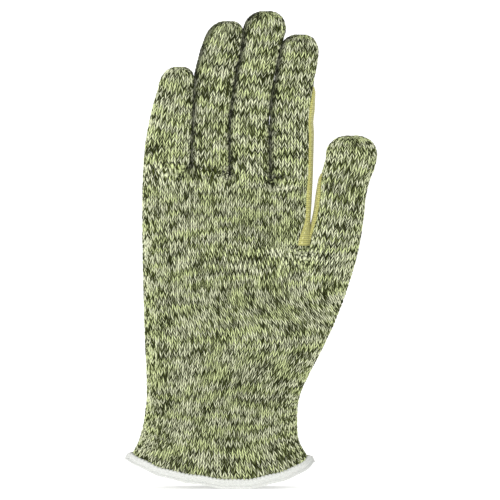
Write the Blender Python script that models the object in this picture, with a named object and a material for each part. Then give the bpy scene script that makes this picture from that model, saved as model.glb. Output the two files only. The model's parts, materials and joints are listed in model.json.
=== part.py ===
"""Seamless knitted cut resistant work glove for the left hand.

The glove stands on its cuff as if a hand filled it. +Z runs to the fingertips, the back of the
hand faces -Y, the palm faces +Y and the thumb is at +X. The origin is the middle of the cuff
opening, level with the lowest point of the hem. Lengths below are in millimetres and are
scaled to metres when a mesh is made.

The knit is one continuous fabric on the real glove. Here it is divided into tubes wherever a
wrist, finger or thumb joint has to bend, and each division is mitred so that the tubes fold
towards the palm without meeting.
"""
import bpy
import bmesh
from math import cos, pi, radians, sin, tan
from mathutils import Vector

MM = 0.001

# Fabric
WALL = 1.8                  # thickness of the heavy knit
GAP = 0.5                   # clearance between neighbouring tubes
HEM_THICKNESS = 1.3         # overlock thread on each face of the knit
HEM_HEIGHT = 5.0            # height of the overlocked band
HEM_CLEARANCE = 0.3
STRIP_THICKNESS = 1.0       # ribbed reinforcement
STRIP_CLEARANCE = 0.3       # from the reinforcement to the knit under it
STRIP_BACK_Y = -5.5         # the reinforcement's edge towards the back of the hand
STRIP_PALM_Y = 7.0          # and towards the palm

# Cuff
CUFF_RISE = 14.0            # how far the hem climbs from the middle to the sides
CUFF_HALF_WIDTH = 51.0      # half width of the flared hem
ELASTIC_RADIUS = 0.5
ELASTIC_TURNS = 4
ELASTIC_PITCH = 5.0
ELASTIC_START = 26.0

# Palm
PALM_SPLIT = 126.2          # height where the five finger knit becomes four finger knit
CROTCH_HEIGHT = 127.5       # bottom of the reinforced thumb crotch

# Outlines up the glove: (height, left x, right x, half thickness)
CUFF_OUTLINE = [
    (0.0, -52.0, 51.0, 17.5), (14.0, -49.5, 48.0, 16.5), (18.0, -46.0, 44.2, 15.6),
    (24.0, -43.4, 41.4, 14.6), (33.0, -41.0, 40.8, 14.0), (44.0, -39.6, 41.2, 13.9),
    (52.0, -39.2, 43.4, 14.0), (60.0, -39.3, 47.4, 14.0),
]
LOWER_PALM_OUTLINE = [
    (44.0, -39.6, 41.2, 13.9), (52.0, -39.2, 43.4, 14.0), (60.0, -39.3, 47.4, 14.0),
    (81.0, -40.4, 58.2, 13.6), (100.0, -40.9, 66.0, 13.1), (111.0, -41.1, 69.6, 12.2),
    (118.0, -41.2, 71.6, 10.4), (122.5, -41.0, 72.6, 8.2), (126.0, -40.6, 73.0, 5.0),
]
UPPER_PALM_OUTLINE = [
    (100.0, -40.6, 44.2, 12.2), (112.0, -41.2, 44.8, 12.6), (127.0, -41.5, 45.3, 12.5),
    (142.0, -41.7, 46.4, 12.1), (152.0, -41.7, 47.0, 11.4), (162.0, -41.6, 47.6, 10.2),
    (170.0, -41.3, 47.9, 9.4), (178.0, -40.8, 48.0, 8.8),
]
PALM_TOP = [(-42.0, 171.0), (-16.0, 172.5), (4.5, 168.0), (26.2, 164.5), (48.0, 163.0)]

LITTLE_OUTLINE = [
    (155.0, -40.8, -16.9, 8.6), (173.0, -41.0, -16.3, 8.4), (184.0, -40.0, -15.7, 7.9),
    (196.0, -37.8, -15.2, 7.6), (206.0, -35.5, -14.9, 7.4), (213.5, -33.0, -14.4, 7.2),
]
RING_OUTLINE = [
    (152.0, -15.8, 3.9, 9.2), (173.0, -15.7, 4.2, 9.0), (198.0, -14.6, 4.3, 8.2),
    (209.0, -14.3, 6.1, 8.1), (220.0, -13.8, 7.7, 8.0), (230.0, -11.6, 10.3, 7.9),
    (238.0, -8.6, 11.3, 7.7),
]
MIDDLE_OUTLINE = [
    (150.0, 4.6, 25.8, 9.6), (170.0, 4.8, 25.9, 9.3), (198.0, 4.9, 25.6, 8.5),
    (209.0, 6.7, 26.9, 8.4), (220.0, 8.3, 28.7, 8.3), (230.0, 10.9, 30.9, 8.2),
    (243.0, 12.4, 34.4, 8.0),
]
INDEX_OUTLINE = [
    (146.0, 26.4, 47.2, 9.6), (165.0, 26.6, 48.2, 9.3), (180.0, 26.5, 48.6, 8.8),
    (198.0, 26.3, 49.2, 8.5), (209.0, 27.6, 49.5, 8.3), (220.0, 29.4, 50.6, 8.2),
    (230.5, 31.6, 52.4, 8.0),
]
THUMB_OUTLINE = [
    (98.0, 44.0, 65.2, 8.6), (111.0, 46.3, 69.4, 9.8), (121.0, 47.7, 72.5, 10.0),
    (132.0, 49.2, 74.8, 10.0), (144.0, 50.8, 76.6, 9.9), (156.0, 52.2, 77.9, 9.7),
    (164.0, 53.6, 79.6, 9.6), (171.0, 55.4, 83.2, 9.5), (177.0, 57.0, 83.9, 9.3),
]

FINGER_POWER = 2.35         # superellipse powers of the sections
PALM_POWER = 2.8
CROWN_POWER = 2.3           # roundness of a fingertip

FINGER_SIDES = 16
THUMB_SIDES = 18
PALM_SIDES = 32
CROWN_RINGS = 4

# Joints: (x, height) of the pivot, sideways lean in degrees, lowest and highest flexion towards
# the palm in degrees.
JOINTS = {
    "wrist": ((1.0, 52.0), 0.0, -35.0, 35.0),
    "little_root": ((-28.2, 179.0), 4.5, -15.0, 60.0),
    "little_mid": ((-26.5, 194.0), 7.0, 0.0, 75.0),
    "little_end": ((-25.0, 208.0), 8.0, 0.0, 45.0),
    "ring_root": ((-5.7, 179.0), 1.5, -15.0, 60.0),
    "ring_mid": ((-4.9, 202.0), 5.0, 0.0, 75.0),
    "ring_end": ((-2.0, 225.5), 9.0, 0.0, 45.0),
    "middle_root": ((15.3, 175.0), 0.5, -15.0, 60.0),
    "middle_mid": ((15.8, 202.5), 5.0, 0.0, 75.0),
    "middle_end": ((20.2, 228.0), 8.0, 0.0, 45.0),
    "index_root": ((37.5, 171.5), 0.5, -15.0, 60.0),
    "index_mid": ((37.6, 195.5), 2.0, 0.0, 75.0),
    "index_end": ((39.6, 218.0), 6.0, 0.0, 45.0),
    "thumb_root": ((62.4, 137.0), 7.5, -10.0, 50.0),
    "thumb_end": ((65.3, 158.0), 8.0, 0.0, 60.0),
}

FINGERS = {
    "little": (LITTLE_OUTLINE, (-22.0, 224.4)),
    "ring": (RING_OUTLINE, (4.2, 248.9)),
    "middle": (MIDDLE_OUTLINE, (24.4, 254.2)),
    "index": (INDEX_OUTLINE, (42.6, 241.7)),
}
THUMB_TIP = (70.4, 187.5)
INDEX_STRIP_TOP = 213.5
THUMB_STRIP_TOP = 167.0

KNIT = ("knit", (0.45, 0.49, 0.23, 1.0), 0.95)
HEM_THREAD = ("hem_thread", (0.86, 0.87, 0.86, 1.0), 0.85)
ELASTIC = ("elastic", (0.82, 0.82, 0.78, 1.0), 0.7)
REINFORCEMENT = ("reinforcement", (0.66, 0.56, 0.18, 1.0), 0.9)


def clear_scene():
    for obj in list(bpy.data.objects):
        bpy.data.objects.remove(obj, do_unlink=True)


def through(stations, column, z):
    """A smooth curve through one column of an outline, read at height z."""
    heights = [row[0] for row in stations]
    values = [row[column] for row in stations]
    last = len(stations) - 1
    z = min(max(z, heights[0]), heights[last])
    span = 0
    while span < last - 1 and z > heights[span + 1]:
        span += 1

    def slope(i):
        low, high = max(i - 1, 0), min(i + 1, last)
        return (values[high] - values[low]) / (heights[high] - heights[low])

    step = heights[span + 1] - heights[span]
    t = (z - heights[span]) / step
    return ((2 * t**3 - 3 * t**2 + 1) * values[span]
            + (t**3 - 2 * t**2 + t) * step * slope(span)
            + (3 * t**2 - 2 * t**3) * values[span + 1]
            + (t**3 - t**2) * step * slope(span + 1))


def signed_power(value, power):
    return abs(value) ** power * (1 if value >= 0 else -1)


class Tube:
    """A knitted tube with superellipse sections, closed by a rounded crown if it has a tip."""

    def __init__(self, outline, power, sides, tip=None):
        self.outline = outline
        self.power = power
        self.sides = sides
        self.tip = tip
        self.top = outline[-1][0]

    def size(self, z, offset=0.0):
        """Centre x, half width and half thickness at height z, grown by the offset."""
        left = through(self.outline, 1, z)
        right = through(self.outline, 2, z)
        centre = (left + right) / 2
        width = (right - left) / 2 + offset
        thickness = through(self.outline, 3, z) + offset
        if self.tip and z > self.top:
            rise = min((z - self.top) / (self.tip[1] + offset - self.top), 1.0)
            scale = (1 - rise**CROWN_POWER) ** (1 / CROWN_POWER)
            centre += (self.tip[0] - centre) * rise
            width *= scale
            thickness *= scale
        return centre, width, thickness

    def point(self, z, turn, offset=0.0):
        """The surface point at a height and at an angle round the tube."""
        centre, width, thickness = self.size(z, offset)
        x = centre + width * signed_power(cos(turn), 2 / self.power)
        y = thickness * signed_power(sin(turn), 2 / self.power)
        return Vector((x, y, z))

    def side(self, z, y, direction, offset=0.0):
        """The x of the surface at a height and a depth, on the +X (1) or -X (-1) side."""
        centre, width, thickness = self.size(z, offset)
        depth = min(abs(y) / thickness, 0.999)
        return centre + direction * width * (1 - depth**self.power) ** (1 / self.power)

    def turns(self):
        return [2 * pi * i / self.sides for i in range(self.sides)]

    def end_ring(self, end, offset):
        """The ring where the tube meets an end surface given as a height over (x, y)."""
        ring = []
        for turn in self.turns():
            z = end(*self.point(self.top, turn, offset).xy)
            for _ in range(4):
                z = end(*self.point(z, turn, offset).xy)
            ring.append(self.point(z, turn, offset))
        return ring

    def rings(self, low, high, count, offset=0.0):
        """Rings evenly spaced from one end surface to the other."""
        first = self.end_ring(low, offset)
        last = self.end_ring(high, offset)
        grid = []
        for step in range(count + 1):
            ring = []
            for turn, a, b in zip(self.turns(), first, last):
                ring.append(self.point(a.z + (b.z - a.z) * step / count, turn, offset))
            grid.append(ring)
        return grid

    def crown(self, offset=0.0):
        """Rings that close the tube over its tip, with the tip point itself last."""
        rise = self.tip[1] + offset - self.top
        grid = []
        for step in range(1, CROWN_RINGS + 1):
            part = sin(step / (CROWN_RINGS + 1) * pi / 2) ** (2 / CROWN_POWER)
            grid.append([self.point(self.top + rise * part, turn, offset)
                         for turn in self.turns()])
        return grid, Vector((self.tip[0], 0.0, self.tip[1] + offset))


class Joint:
    """A hinge whose neighbouring tubes are cut back so that they clear over its range."""

    def __init__(self, name):
        (self.x, self.z), lean, low, high = JOINTS[name]
        self.lean = radians(lean)
        self.low = radians(low)
        self.high = radians(high)

    def pivot(self):
        return Vector((self.x, 0.0, self.z))

    def cut(self, side):
        """The end surface of the tube below (-1) or above (1) this joint."""
        def height(x, y):
            slack = max(y, 0) * tan(self.high / 2) + max(-y, 0) * tan(-self.low / 2)
            level = self.z - (x - self.x) * tan(self.lean)
            return level + side * (GAP / 2 + slack)
        return height


def level(z):
    return lambda x, y: z


def hem_line(raise_by=0.0):
    """Height of the curved hem, which climbs towards both sides."""
    return lambda x, y: raise_by + CUFF_RISE * (x / CUFF_HALF_WIDTH) ** 2


def palm_top(lower_by=0.0):
    """The web between the fingers, straight from crotch to crotch."""
    def height(x, y):
        for (x0, z0), (x1, z1) in zip(PALM_TOP, PALM_TOP[1:]):
            if x <= x1:
                break
        part = min(max((x - x0) / (x1 - x0), 0.0), 1.0)
        return z0 + (z1 - z0) * part - lower_by
    return height


def shade(mesh):
    mesh.shade_smooth()
    mesh.set_sharp_from_angle(angle=radians(40))


def material(spec):
    name, colour, roughness = spec
    found = bpy.data.materials.get(name)
    if found:
        return found
    made = bpy.data.materials.new(name)
    made.use_nodes = True
    shader = made.node_tree.nodes["Principled BSDF"]
    shader.inputs["Base Color"].default_value = colour
    shader.inputs["Roughness"].default_value = roughness
    shader.inputs["Metallic"].default_value = 0.0
    made.diffuse_color = colour
    return made


def add_object(name, bm, parent, spec):
    """Turns a mesh drawn in millimetres round the glove's origin into a placed object."""
    origin = parent.matrix_world.translation if parent else Vector()
    for vert in bm.verts:
        vert.co = vert.co * MM - origin
    bmesh.ops.recalc_face_normals(bm, faces=bm.faces)
    mesh = bpy.data.meshes.new(name)
    bm.to_mesh(mesh)
    bm.free()
    shade(mesh)
    mesh.materials.append(material(spec))
    obj = bpy.data.objects.new(name, mesh)
    obj.parent = parent
    bpy.context.collection.objects.link(obj)
    return obj


def add_rings(bm, rings):
    return [[bm.verts.new(point) for point in ring] for ring in rings]


def skin(bm, rows, closed=True):
    """Quads between neighbouring rows of vertices."""
    for low, high in zip(rows, rows[1:]):
        count = len(low)
        for i in range(count if closed else count - 1):
            j = (i + 1) % count
            bm.faces.new((low[i], low[j], high[j], high[i]))


def fan(bm, ring, tip):
    point = bm.verts.new(tip)
    for i, vert in enumerate(ring):
        bm.faces.new((vert, ring[(i + 1) % len(ring)], point))


def cap(bm, ring, surface):
    """Closes a tube's end along its middle line, so that a mitre keeps its fold."""
    half = len(ring) // 2
    middle = [None] * (half + 1)
    middle[0], middle[half] = ring[0], ring[half]
    for i in range(1, half):
        x = ring[i].co.x
        middle[i] = bm.verts.new((x, 0.0, surface(x, 0.0)))
    for i in range(half):
        mirrored = (-i) % len(ring)
        for edge, following in ((ring[i], ring[i + 1]), (ring[mirrored], ring[mirrored - 1])):
            corners = []
            for vert in (edge, following, middle[i + 1], middle[i]):
                if vert not in corners:
                    corners.append(vert)
            bm.faces.new(corners)


def tube_solid(name, tube, low, high, count, offset, parent, spec):
    """A solid length of tube, used to build up a palm or to hollow it out."""
    bm = bmesh.new()
    rows = add_rings(bm, tube.rings(low, high, count, offset))
    skin(bm, rows)
    cap(bm, rows[0], low)
    cap(bm, rows[-1], high)
    return add_object(name, bm, parent, spec)


def tube_shell(name, tube, low, high, count, parent, spec, foot=None):
    """A hollow length of tube, open at both ends, or closed by a crown where high is None.

    A foot is an end surface above low, where the even spacing of the rings starts.
    """
    bm = bmesh.new()
    skins = []
    for offset in (0.0, -WALL):
        top = high or level(tube.top)
        rings = tube.rings(foot or low, top, count, offset)
        if foot:
            rings.insert(0, tube.end_ring(low, offset))
        rows = add_rings(bm, rings)
        if high is None:
            crown, tip = tube.crown(offset)
            rows += add_rings(bm, crown)
            fan(bm, rows[-1], tip)
        skin(bm, rows)
        skins.append(rows)
    outer, inner = skins
    skin(bm, [outer[0], inner[0]])
    if high:
        skin(bm, [outer[-1], inner[-1]])
    return add_object(name, bm, parent, spec)


def boolean(target, cutter, operation):
    modifier = target.modifiers.new(cutter.name, "BOOLEAN")
    modifier.object = cutter
    modifier.operation = operation
    modifier.solver = "EXACT"
    cutter.hide_render = True
    cutter.display_type = "WIRE"


def strip_solid(name, rows, parent):
    """A band of reinforcement from rows of (inner point, outer point) pairs."""
    bm = bmesh.new()
    inner = add_rings(bm, [[pair[0] for pair in row] for row in rows])
    outer = add_rings(bm, [[pair[1] for pair in row] for row in rows])
    loops = []
    for under, over in zip(inner, outer):
        loops.append(under + over[::-1])
    skin(bm, loops)
    for loop in (loops[0], loops[-1]):
        half = len(loop) // 2
        for i in range(half - 1):
            bm.faces.new((loop[i], loop[i + 1], loop[-i - 2], loop[-i - 1]))
    return add_object(name, bm, parent, REINFORCEMENT)


STRIP_COLUMNS = 6


def strip_depths():
    step = (STRIP_PALM_Y - STRIP_BACK_Y) / STRIP_COLUMNS
    return [STRIP_BACK_Y + step * i for i in range(STRIP_COLUMNS + 1)]


def strip_rows(tubes, direction, low, high, count, drop=0.0):
    """Rows up the side of one tube, or up the outermost of several."""
    def edge(z, y, offset):
        sides = [direction * tube.side(z, y, direction, offset) for tube in tubes]
        return direction * max(sides)

    def end(surface, y, offset):
        z = surface(edge(150.0, y, offset), y)
        for _ in range(4):
            z = surface(edge(z, y, offset), y)
        return z

    faces = (STRIP_CLEARANCE, STRIP_CLEARANCE + STRIP_THICKNESS)
    rows = []
    for step in range(count + 1):
        row = []
        for y in strip_depths():
            pair = []
            for offset in faces:
                under = drop if offset == STRIP_CLEARANCE else 0.0
                bottom = end(low, y, offset) - under
                z = bottom + (end(high, y, offset) - bottom) * step / count
                pair.append(Vector((edge(z, y, offset), y, z)))
            row.append(pair)
        rows.append(row)
    return rows


def make_pivots():
    """Empties on the joint axes, each parented to the joint it hangs from."""
    pivots = {}
    for name in JOINTS:
        empty = bpy.data.objects.new(name + "_pivot", None)
        bpy.context.collection.objects.link(empty)
        digit, place = (name.split("_") + [""])[:2]
        above = {"mid": digit + "_root", "end": digit + "_mid", "root": "wrist"}.get(place)
        if name == "thumb_end":
            above = "thumb_root"
        position = Joint(name).pivot() * MM
        if above:
            empty.parent = pivots[above]
            position = position - Joint(above).pivot() * MM
        empty.location = position
        pivots[name] = empty
    bpy.context.view_layer.update()
    return pivots


def make_cuff(cuff):
    edge = hem_line(HEM_THICKNESS + HEM_CLEARANCE)
    tube_shell("cuff", cuff, edge, Joint("wrist").cut(-1), 6, None, KNIT, hem_line(HEM_HEIGHT))

    bm = bmesh.new()
    outside = HEM_CLEARANCE + HEM_THICKNESS
    slot_outside = HEM_CLEARANCE
    slot_inside = -WALL - HEM_CLEARANCE
    inside = slot_inside - HEM_THICKNESS
    profile = [
        (HEM_HEIGHT, outside), (0.9, outside), (0.0, (outside + inside) / 2),
        (0.9, inside), (HEM_HEIGHT, inside), (HEM_HEIGHT, slot_inside),
        (HEM_THICKNESS, slot_inside), (HEM_THICKNESS, slot_outside), (HEM_HEIGHT, slot_outside),
    ]
    loops = []
    for height, offset in profile:
        loops.append([bm.verts.new(point) for point in cuff.end_ring(hem_line(height), offset)])
    skin(bm, loops + loops[:1])
    add_object("hem_overlock", bm, None, HEM_THREAD)


def make_elastic(cuff):
    """A covered elastic yarn laid round the inside of the wrist in a helix."""
    bm = bmesh.new()
    inset = -WALL - 0.4 - ELASTIC_RADIUS
    steps = cuff.sides * ELASTIC_TURNS
    ring_sides = 5
    centres = []
    for step in range(steps + 1):
        z = ELASTIC_START + ELASTIC_PITCH * step / cuff.sides
        centres.append(cuff.point(z, 2 * pi * step / cuff.sides, inset))
    rows = []
    for i, centre in enumerate(centres):
        along = (centres[min(i + 1, steps)] - centres[max(i - 1, 0)]).normalized()
        across = along.cross(Vector((0, 0, 1))).normalized()
        upward = across.cross(along)
        ring = []
        for corner in range(ring_sides):
            turn = 2 * pi * corner / ring_sides
            ring.append(centre + ELASTIC_RADIUS * (cos(turn) * across + sin(turn) * upward))
        rows.append(ring)
    loops = add_rings(bm, rows)
    skin(bm, loops)
    bm.faces.new(loops[0])
    bm.faces.new(loops[-1])
    add_object("cuff_elastic", bm, None, ELASTIC)


def make_lower_palm(lower, upper, thumb, pivot):
    """The five finger part of the palm, with the start of the thumb."""
    bottom = Joint("wrist").cut(1)
    thumb_end = Joint("thumb_root").cut(-1)
    top = PALM_SPLIT - GAP / 2
    palm = tube_solid("lower_palm", lower, bottom, level(top - 0.4), 7, 0.0, pivot, KNIT)
    pieces = [
        (upper, 104.0, level(top), 0.0, "UNION"),
        (thumb, 104.0, thumb_end, 0.0, "UNION"),
        (lower, 40.0, level(top - 0.4 - WALL), -WALL, "DIFFERENCE"),
        (upper, 108.0, level(top + 4.0), -WALL, "DIFFERENCE"),
        (thumb, 108.0, level(150.0), -WALL, "DIFFERENCE"),
    ]
    for number, (tube, start, end, offset, operation) in enumerate(pieces):
        name = "lower_palm_shape_%d" % (number + 1)
        piece = tube_solid(name, tube, level(start), end, 4, offset, pivot, KNIT)
        boolean(palm, piece, operation)


def make_upper_palm(upper, fingers, pivot):
    """The four finger part of the palm, with the start of each finger."""
    bottom = PALM_SPLIT + GAP / 2
    palm = tube_solid("upper_palm", upper, level(bottom), palm_top(), 5, 0.0, pivot, KNIT)
    hollow = tube_solid("upper_palm_hollow", upper, level(bottom - 4.0), palm_top(WALL), 5,
                        -WALL, pivot, KNIT)
    for name, tube in fingers.items():
        end = Joint(name + "_root").cut(-1)
        start = tube.outline[0][0]
        stub = tube_solid(name + "_start", tube, level(start), end, 3, 0.0, pivot, KNIT)
        boolean(palm, stub, "UNION")
    boolean(palm, hollow, "DIFFERENCE")
    for name, tube in fingers.items():
        start = tube.outline[0][0] + 1.0
        bore = tube_solid(name + "_bore", tube, level(start), level(190.0), 3, -WALL, pivot, KNIT)
        boolean(palm, bore, "DIFFERENCE")


def make_finger(name, tube, pivots):
    """Three lengths of one finger stall, from its root to its closed tip."""
    joints = [Joint(name + "_" + place) for place in ("root", "mid", "end")]
    parents = [pivots[name + "_" + place] for place in ("root", "mid", "end")]
    tube_shell(name + "_base", tube, joints[0].cut(1), joints[1].cut(-1), 3, parents[0], KNIT)
    tube_shell(name + "_middle", tube, joints[1].cut(1), joints[2].cut(-1), 3, parents[1], KNIT)
    tube_shell(name + "_tip", tube, joints[2].cut(1), None, 2, parents[2], KNIT)


def make_thumb(thumb, pivots):
    root, end = Joint("thumb_root"), Joint("thumb_end")
    tube_shell("thumb_base", thumb, root.cut(1), end.cut(-1), 3, pivots["thumb_root"], KNIT)
    tube_shell("thumb_tip", thumb, end.cut(1), None, 3, pivots["thumb_end"], KNIT)


def make_reinforcement(upper, index, thumb, pivots):
    """The ribbed strip from the index finger through the thumb crotch and up the thumb."""
    crotch = level(CROTCH_HEIGHT)
    hand_rows = strip_rows([upper, index], 1, crotch, Joint("index_root").cut(-1), 7,
                           STRIP_THICKNESS)
    thumb_rows = strip_rows([thumb], -1, crotch, Joint("thumb_root").cut(-1), 2,
                            STRIP_THICKNESS)
    strip_solid("crotch_reinforcement", hand_rows[::-1] + thumb_rows, pivots["wrist"])

    root, mid, end = (Joint("index_" + place) for place in ("root", "mid", "end"))
    top = level(INDEX_STRIP_TOP)
    pieces = [
        ("index_base_reinforcement", index, 1, root.cut(1), mid.cut(-1), "index_root"),
        ("index_middle_reinforcement", index, 1, mid.cut(1), top, "index_mid"),
        ("thumb_base_reinforcement", thumb, -1, Joint("thumb_root").cut(1),
         Joint("thumb_end").cut(-1), "thumb_root"),
        ("thumb_tip_reinforcement", thumb, -1, Joint("thumb_end").cut(1),
         level(THUMB_STRIP_TOP), "thumb_end"),
    ]
    for name, tube, direction, low, high, joint in pieces:
        strip_solid(name, strip_rows([tube], direction, low, high, 3), pivots[joint])


def main():
    clear_scene()
    pivots = make_pivots()
    cuff = Tube(CUFF_OUTLINE, PALM_POWER, PALM_SIDES)
    lower = Tube(LOWER_PALM_OUTLINE, PALM_POWER, PALM_SIDES)
    upper = Tube(UPPER_PALM_OUTLINE, PALM_POWER, PALM_SIDES)
    thumb = Tube(THUMB_OUTLINE, FINGER_POWER, THUMB_SIDES, THUMB_TIP)
    fingers = {}
    for name, (outline, tip) in FINGERS.items():
        fingers[name] = Tube(outline, FINGER_POWER, FINGER_SIDES, tip)
    make_cuff(cuff)
    make_elastic(cuff)
    make_lower_palm(lower, upper, thumb, pivots["wrist"])
    make_upper_palm(upper, fingers, pivots["wrist"])
    for name, tube in fingers.items():
        make_finger(name, tube, pivots)
    make_thumb(thumb, pivots)
    make_reinforcement(upper, fingers["index"], thumb, pivots)


main()
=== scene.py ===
"""Looks of the seamless knitted cut resistant glove.

The knit, its overlocked hem and the ribbed reinforcement are grids of real stitches. Their
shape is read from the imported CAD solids, so every piece lies where its solid lies. Lengths
are in millimetres until a mesh is made.
"""

import json
import math

import bpy
import numpy as np
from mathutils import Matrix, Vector


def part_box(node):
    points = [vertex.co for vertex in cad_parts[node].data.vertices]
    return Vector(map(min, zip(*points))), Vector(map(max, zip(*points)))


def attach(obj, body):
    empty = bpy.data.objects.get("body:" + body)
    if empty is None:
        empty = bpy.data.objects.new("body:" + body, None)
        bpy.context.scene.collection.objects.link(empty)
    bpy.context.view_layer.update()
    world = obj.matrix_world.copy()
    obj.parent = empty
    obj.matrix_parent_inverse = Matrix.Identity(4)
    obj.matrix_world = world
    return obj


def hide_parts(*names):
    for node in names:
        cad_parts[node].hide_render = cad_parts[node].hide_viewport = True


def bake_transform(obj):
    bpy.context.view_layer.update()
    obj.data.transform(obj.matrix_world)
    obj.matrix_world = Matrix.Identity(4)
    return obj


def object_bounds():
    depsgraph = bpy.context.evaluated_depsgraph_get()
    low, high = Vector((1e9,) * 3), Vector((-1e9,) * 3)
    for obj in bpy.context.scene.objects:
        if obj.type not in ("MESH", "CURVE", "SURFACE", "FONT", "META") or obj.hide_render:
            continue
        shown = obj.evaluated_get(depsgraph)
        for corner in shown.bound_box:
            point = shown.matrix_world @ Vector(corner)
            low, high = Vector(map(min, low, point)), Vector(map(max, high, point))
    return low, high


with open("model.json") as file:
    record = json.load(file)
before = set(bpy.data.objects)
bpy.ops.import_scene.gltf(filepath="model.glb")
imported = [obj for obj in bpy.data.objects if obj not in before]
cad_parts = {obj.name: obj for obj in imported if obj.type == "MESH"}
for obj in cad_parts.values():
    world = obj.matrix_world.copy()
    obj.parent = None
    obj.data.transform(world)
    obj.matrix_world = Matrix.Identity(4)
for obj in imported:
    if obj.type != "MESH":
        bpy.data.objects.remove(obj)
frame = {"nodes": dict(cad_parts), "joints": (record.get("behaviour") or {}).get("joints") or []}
cad_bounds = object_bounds()

MM = 0.001

# Knit
WALL = 1.8                   # thickness of the fabric
COURSE = 2.1                 # height of one row of stitches
DETAIL = 6                   # grid columns to a wale
ROWS = 5                     # grid rows to a course
YARN_RELIEF = 0.95           # depth of the grooves between yarns
LEG_RISE = 3.15              # height that a stitch leg climbs
INNER_STEP = 5               # the inside of the fabric keeps one grid row in this many

# Wales on one face of each knit section
FINGER_WALES = 10
THUMB_WALES = 12
PALM_WALES = 4 * FINGER_WALES
BODY_WALES = PALM_WALES + THUMB_WALES

# Section shapes
FINGER_POWER = 2.35
PALM_POWER = 2.8
CROWN_POWER = 2.3
CROWN_HEIGHT = 11.0
WEB_DROP = 6.8               # from a finger's root joint down to its crotch
EDGE_DROPS = (7.5, 8.0)      # the same at the outer sides of the little and index fingers
FINGER_SEAL = 6.0            # length over which two stalls part above their crotch
THUMB_SEAL = 24.0
STALL_SPREAD = 0.29          # half of what closes the gap between two fingers
WEB_DEPTH = 15.0             # length of the groove below a finger crotch
THUMB_WEB_DEPTH = 26.0

# Cuff
HEM_RISE = 14.0
HEM_SKEW = 0.3               # how far the hem's lowest point lies towards the thumb
HEM_SIDES = 0.92             # share of the rise at the sides, and how it differs between them
HEM_TILT = 0.05
HEM_FLARE = 2.0              # how far the hem stands out at the sides
HEM_HEIGHT = 5.0
HEM_EDGE = 1.6               # where the knit ends inside the hem
WRIST_LEVEL = 50.0           # courses run level from here up
CUFF_TOP = 72.0              # the cuff piece ends here, past the wrist joint's bend

PALM_SPLIT = 127.0           # the five finger knit becomes four finger knit here
GUSSET_START = 85.0          # the thumb's wales start to part from the palm's
GUSSET_FULL = 112.0          # all of the thumb's wales are in by here

FINGERS = ("little", "ring", "middle", "index")

# Sides on which each stall lies against another
NEIGHBOURS = {"little": ("right",), "ring": ("left", "right"), "middle": ("left", "right"),
              "index": ("left",), "thumb": ()}

# Painted shade in the creases between stalls: its depth, how far in it reaches and over what it
# fades
# The left crease is deeper and reaches further: a painted shadow from light falling from the left.
CREASE_SHADE_LEFT = (0.80, 9.0, 5.0)
CREASE_SHADE_RIGHT = (0.50, 4.0, 2.5)

# For each joint of a stall: how far its bend reaches below and above the pivot, and the plane
# (height, slope) where the next piece starts
BENDS = {
    "little": [((7, 6), (186.5, 0.09)), ((8, 7.5), (201.0, 0.13)), ((6, 6), None)],
    "ring": [((8, 8), (189.5, 0.06)), ((12, 12), (214.5, 0.13)), ((8, 8), None)],
    "middle": [((8, 8), (187.5, 0.05)), ((12, 12), (215.5, 0.12)), ((8, 8), None)],
    "index": [((7, 8), (183.0, 0.02)), ((12, 12), (208.5, 0.07)), ((8, 8), None)],
    "thumb": [((10, 9), (147.0, 0.13)), ((10, 10), None)],
}
WRIST_BEND = 10.0            # the wrist's bend starts this far below its pivot


# ---------------------------------------------------------------- reading the CAD solids

joints = {joint["name"]: joint for joint in frame["joints"]}


def pivot(name):
    return np.array(joints[name]["pos_m"]) / MM


def bodies_of(stall):
    """Bodies of a stall from its root up, each named like its knit's node."""
    parts = ("base", "tip") if stall == "thumb" else ("base", "middle", "tip")
    return ["%s_%s" % (stall, part) for part in parts]


def joints_of(stall):
    parts = ("root", "end") if stall == "thumb" else ("root", "mid", "end")
    return ["%s_%s_flex" % (stall, part) for part in parts]


def node_edges(names):
    starts, ends = [], []
    for name in names:
        mesh = frame["nodes"][name].data
        points = np.empty(len(mesh.vertices) * 3)
        mesh.vertices.foreach_get("co", points)
        pairs = np.empty(len(mesh.edges) * 2, dtype=np.int32)
        mesh.edges.foreach_get("vertices", pairs)
        points = points.reshape(-1, 3) / MM
        pairs = pairs.reshape(-1, 2)
        starts.append(points[pairs[:, 0]])
        ends.append(points[pairs[:, 1]])
    return np.concatenate(starts), np.concatenate(ends)


def smoothed(values, spread=2.5):
    """A list of evenly spaced values without its small facets."""
    reach = int(3 * spread)
    kernel = np.exp(-0.5 * (np.arange(-reach, reach + 1) / spread) ** 2)
    head = 2 * values[0] - values[reach:0:-1]
    tail = 2 * values[-1] - values[-2:-reach - 2:-1]
    return np.convolve(np.concatenate([head, values, tail]), kernel / kernel.sum(), "valid")


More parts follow.
